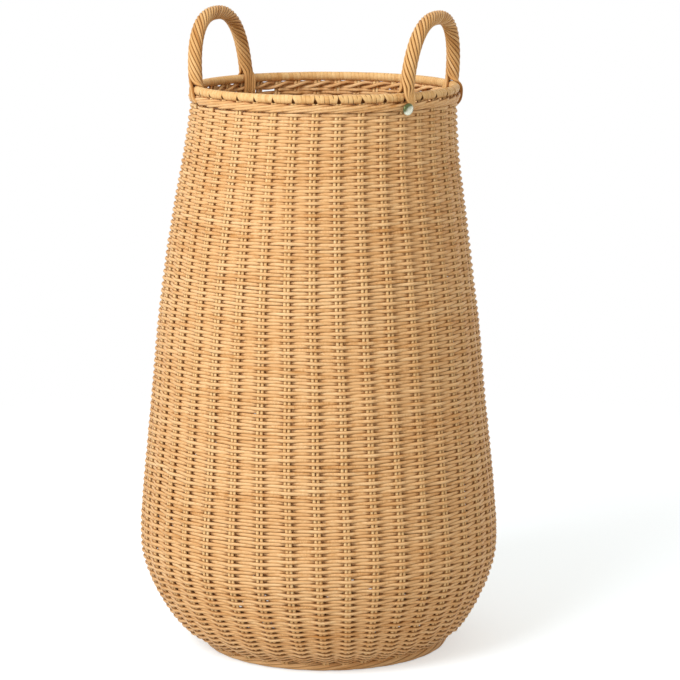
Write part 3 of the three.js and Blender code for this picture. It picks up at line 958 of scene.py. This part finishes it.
def make_sticks(name, node, turned, thickness, middle_thickness):
    """One set of base sticks: each runs straight through the middle and fans out at both ends."""
    sticks = Bundle(rod_sides, strip_length=0.3)
    for index in range(base_sticks):
        fan = (index - (base_sticks - 1) / 2) * math.pi / (2 * base_sticks)
        offset = (index - (base_sticks - 1) / 2) * stick_pitch
        along = np.linspace(-1, 1, 41)
        straight = block_length / 2 / stick_reach
        bend = smooth_step((np.abs(along) - straight) / (1 - straight))
        x = along * stick_reach * (1 - bend * (1 - math.cos(fan)))
        y = offset * (1 - bend) + bend * stick_reach * math.sin(fan)
        thick = np.where(np.abs(along) < straight, middle_thickness, thickness)
        points = flat_points(x, y, 0)
        if turned:
            points = points[:, [1, 0, 2]] * [-1, 1, 1]
        up = np.zeros_like(points) + [0, 0, 1]
        sticks.add(points, up, stick_width, thick, shade=0.3 + 0.08 * index)
    return sticks.build(name, base_finish, "base_rattan", node)


make_sticks("base_spokes_pierced", "base_sticks_pierced", False, stick_height, stick_height * 2)
make_sticks("base_spokes_through", "base_sticks_through", True, stick_height, stick_height * 0.8)

base_rows = Bundle(sides=6, strip_length=1.2)
row_start = 0.030
base_turns = (base_radius - row_start) / (2 * base_weaver_diameter)
for weaver in range(2):
    crossings = np.arange(0, base_turns * spoke_count, 1 / 4)
    angle = 2 * math.pi * (crossings + weaver) / spoke_count + math.pi / 4
    radius = row_start + base_weaver_diameter * (2 * crossings / spoke_count + weaver)
    height = base_swing * np.cos(math.pi * crossings)
    points = flat_points(radius * np.cos(angle), radius * np.sin(angle), height)
    up = np.zeros_like(points) + [0, 0, 1]
    base_rows.add(points, up, base_weaver_diameter, shade=0.4 + 0.2 * weaver)
base_rows.build("base_rows", weaver_finish, "weave_rattan", "base_weave")

# %% [markdown]
# ## Button
#
# A small polished metal button sits on the front foot of the right handle, its pin going through to a
# washer inside. It is blank. A turned shape is a profile spun round an axis, so it needs few points, and
# its edge is rounded so that it catches a line of light.


# %% The metal finish
def metal(name, colour, dark_reflection):
    """Polished metal with a painted dark reflection where it faces up and to the left."""
    finish = Finish(name)
    place = finish.node("ShaderNodeTexCoord", {}, {}, "Object")
    smudges = finish.node("ShaderNodeTexNoise", {}, {"Vector": place, "Scale": 260, "Detail": 3})
    scratches = finish.node("ShaderNodeTexNoise", {}, {"Vector": place, "Scale": 1400, "Detail": 2})
    # Painted reflection: where the metal faces up and to the left, its colour turns dark green-grey, as if it
    # mirrored dark surroundings.
    normal = finish.node("ShaderNodeNewGeometry", output="Normal")
    facing = {0: normal, 1: (-0.8, 0, 1)}
    slope = finish.node("ShaderNodeVectorMath", {"operation": "DOT_PRODUCT"}, facing, "Value")
    reflection_range = {"Value": slope + smudges * 0.3, 1: -0.45, 2: -0.1, 3: 0, 4: 1}
    reflection_share = finish.node("ShaderNodeMapRange", {}, reflection_range)
    finish.set(Base_Color=finish.mix(reflection_share, colour, dark_reflection), Metallic=1)
    finish.set(Roughness=0.1 + smudges * 0.16)
    relief = {"Height": scratches, "Strength": 0.12, "Distance": 0.0001}
    finish.set(Normal=finish.node("ShaderNodeBump", {}, relief))
    return finish.material


# The second colour is the painted dark reflection.
metal_finish = metal("polished metal", paint(222, 224, 206), paint(96, 104, 68))


# %% Make the button and the washer
def turned(profile, sides):
    """Mesh of a profile of [out along the axis, distance from it], spun round the X axis."""
    profile = np.array(profile)
    turn = np.arange(sides) * 2 * math.pi / sides
    rings = np.stack(
        [
            np.repeat(profile[:, :1], sides, 1),
            profile[:, 1:] * np.cos(turn),
            profile[:, 1:] * np.sin(turn),
        ],
        -1,
    )
    faces = []
    for ring in range(len(profile) - 1):
        for side in range(sides):
            beside = (side + 1) % sides
            low, high = ring * sides, (ring + 1) * sides
            faces.append((low + side, high + side, high + beside, low + beside))
    faces.append(tuple(range(sides)))
    faces.append(tuple((len(profile) - 1) * sides + side for side in reversed(range(sides))))
    return rings.reshape(-1, 3), faces


def place_on_foot(corners, height):
    """Turns a shape from the X axis to the middle of the right handle's front foot."""
    x, y, z = corners.T
    across, along = math.cos(pin_angle), math.sin(pin_angle)
    moved = [x * across - y * along, x * along + y * across, z + height]
    return handmade(np.stack(moved, -1))


def turned_piece(name, profile, sides, height, node):
    """A metal piece on the foot, spun from its profile."""
    corners, faces = turned(profile, sides)
    mesh = bpy.data.meshes.new(name)
    mesh.from_pydata(place_on_foot(corners, height).tolist(), [], faces)
    mesh.polygons.foreach_set("use_smooth", np.ones(len(faces), bool))
    print(name, "has", len(faces), "faces")
    return put_in_place(mesh, name, metal_finish, "button_metal", node)


button_radius = 0.0072
button_height = 0.6888
button_gap = 0.0002
button_plate = 0.0010
button_base = mouth_radius + wale_thickness / 2 + strap_gap + strand_diameter + button_gap
dome_start = button_base + 0.0012
dome_rise = 0.0018
dome_radius = button_radius * 0.86
dome_tip = 1e-5
edge = 0.0004
dome = [
    (dome_start + dome_rise * math.cos(turn), dome_radius * math.sin(turn) + dome_tip)
    for turn in np.linspace(math.pi / 2, 0, 10)
]
pin_radius = 0.0013
pin_length = 0.026
button_profile = [
    (button_base - pin_length, pin_radius),
    (button_base, pin_radius),
    (button_base, button_radius - edge),
    (button_base + edge, button_radius),
    (button_base + button_plate, button_radius),
    (button_base + button_plate + edge, button_radius - edge),
    *dome,
]
turned_piece("button", button_profile, 48, button_height, "badge_button")

washer_gap = 0.0003
washer_face = mouth_radius - wale_thickness / 2 - strap_gap - strand_diameter - washer_gap
washer_radius = 0.004
washer_plate = 0.001
washer_profile = [
    (washer_face, pin_radius),
    (washer_face, washer_radius - edge),
    (washer_face - edge, washer_radius),
    (washer_face - washer_plate + edge, washer_radius),
    (washer_face - washer_plate, washer_radius - edge),
    (washer_face - washer_plate, pin_radius),
]
turned_piece("washer", washer_profile[::-1], 32, button_height, "badge_washer")

# %% [markdown]
# ## The solids that stay
#
# The hoop and the rods inside the handles are already the right shape, and only a sliver of them shows
# between the strands. They keep their own mesh and get the rattan finish. The hoop's is dark as painted
# shade, since only the bottoms of the notches show it.

# %% Finish the hoop and the handle rods
for node, finish in (
    ("rim_hoop", shaded_hoop_finish),
    ("right_handle_core", core_finish),
    ("left_handle_core", core_finish),
):
    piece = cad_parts[node]
    piece.data.materials.clear()
    piece.data.materials.append(finish)
    print(node, "keeps its solid")

# %% [markdown]
# ## Floor, light and camera
#
# The basket stands on a white floor in soft light from the upper left. To the light, the floor is a plain
# pale surface. To the camera, half of its white is its own glow, so its shadow stays soft, and it clears
# away further out, where the white world shows through. The world is white to the eye, and a little warm
# and dimmer as a light. The camera stands far back and looks down a little, so that the mouth shows as a
# flat ellipse and the sides keep their slope.


# %% Floor
def seen_rays(finish):
    """Wire that is 1 for what is seen straight, mirrored or through glass, and 0 for light."""
    seen = [finish.node("ShaderNodeLightPath", output=name) for name in ("Is Camera Ray", "Is Glossy Ray")]
    seen.append(finish.node("ShaderNodeLightPath", output="Is Transmission Ray"))
    any_of_them = {0: seen[0] + seen[1], 1: seen[2]}
    return finish.node("ShaderNodeMath", {"operation": "ADD", "use_clamp": True}, any_of_them)


floor_mesh = bpy.data.meshes.new("floor")
floor_half = 6.0
floor_corners = [(-1, -1), (1, -1), (1, 1), (-1, 1)]
floor_mesh.from_pydata([(x * floor_half, y * floor_half, 0) for x, y in floor_corners], [], [(0, 1, 2, 3)])
floor = bpy.data.objects.new("floor", floor_mesh)
bpy.context.scene.collection.objects.link(floor)

floor_finish = Finish("white floor")
floor_place = floor_finish.node("ShaderNodeTexCoord", {}, {}, "Object")
distance = floor_finish.node("ShaderNodeVectorMath", {"operation": "LENGTH"}, {0: floor_place}, "Value")
clearing = floor_finish.node("ShaderNodeMapRange", {}, {"Value": distance, 1: 0.5, 2: 1.6, 3: 0, 4: 1})
clear = floor_finish.node("ShaderNodeBsdfTransparent")
seen = seen_rays(floor_finish)
floor_white, seen_white = paint(215, 215, 215), paint(226, 238, 248)
floor_glow = 0.52
floor_finish.set(Base_Color=floor_finish.mix(seen, floor_white, seen_white), Roughness=0.9)
floor_finish.set(Specular_IOR_Level=0, Emission_Color=(1, 1, 1, 1), Emission_Strength=seen * floor_glow)
surface = Wire(floor_finish, floor_finish.surface.outputs[0])
blend = floor_finish.node("ShaderNodeMixShader", {}, {0: clearing, 1: surface, 2: clear})
output = floor_finish.tree.nodes["Material Output"]
floor_finish.feed(output.inputs["Surface"], blend)
floor_mesh.materials.append(floor_finish.material)
print("The floor is", 2 * floor_half, "m wide")


# %% World
class Sky(Finish):
    """The world's own nodes, written in the same way."""

    def __init__(self, name):
        self.world = bpy.data.worlds.new(name)
        self.world.use_nodes = True
        self.tree = self.world.node_tree
        self.surface = self.tree.nodes["Background"]


world_level = 0.56
warm_white, white = (1, 0.95, 0.85, 1), (1, 1, 1, 1)
sky = Sky("white world")
seen = seen_rays(sky)
sky.set(Color=sky.mix(seen, warm_white, white), Strength=seen * (1 - world_level) + world_level)
bpy.context.scene.world = sky.world
print("The world lights at", world_level)


# %% Lamps
def area_lamp(name, place, size, power):
    """A soft square lamp that faces the middle of the basket."""
    data = bpy.data.lights.new(name, "AREA")
    data.shape = "SQUARE"
    data.size = size
    data.energy = power
    lamp = bpy.data.objects.new(name, data)
    bpy.context.scene.collection.objects.link(lamp)
    lamp.location = place
    aim = lamp.location - cad_box[0].lerp(cad_box[1], 0.5)
    lamp.rotation_mode = "QUATERNION"
    lamp.rotation_quaternion = aim.to_track_quat("Z", "Y")
    print(name, "lamp at", place)


area_lamp("key", (-1.85, -2.35, 2.5), 1.8, 93)

# %% Camera
camera_place = (0.0271, -3.557, 1.0291)
camera_pitch = math.radians(10.26)
focal_pixels = 2884
picture_pixels = 680
camera_data = bpy.data.cameras.new("camera")
camera_data.sensor_width = 36
camera_data.lens = focal_pixels / picture_pixels * camera_data.sensor_width
camera = bpy.data.objects.new("camera", camera_data)
bpy.context.scene.collection.objects.link(camera)
camera.location = camera_place
camera.rotation_euler = (math.pi / 2 - camera_pitch, 0, 0)
bpy.context.scene.camera = camera
bpy.context.scene.view_settings.view_transform = "Standard"
print("Camera at", camera_place, "with a lens of", round(camera_data.lens), "mm")

# %% Print the CAD box
print("CAD box", [list(corner) for corner in cad_box])
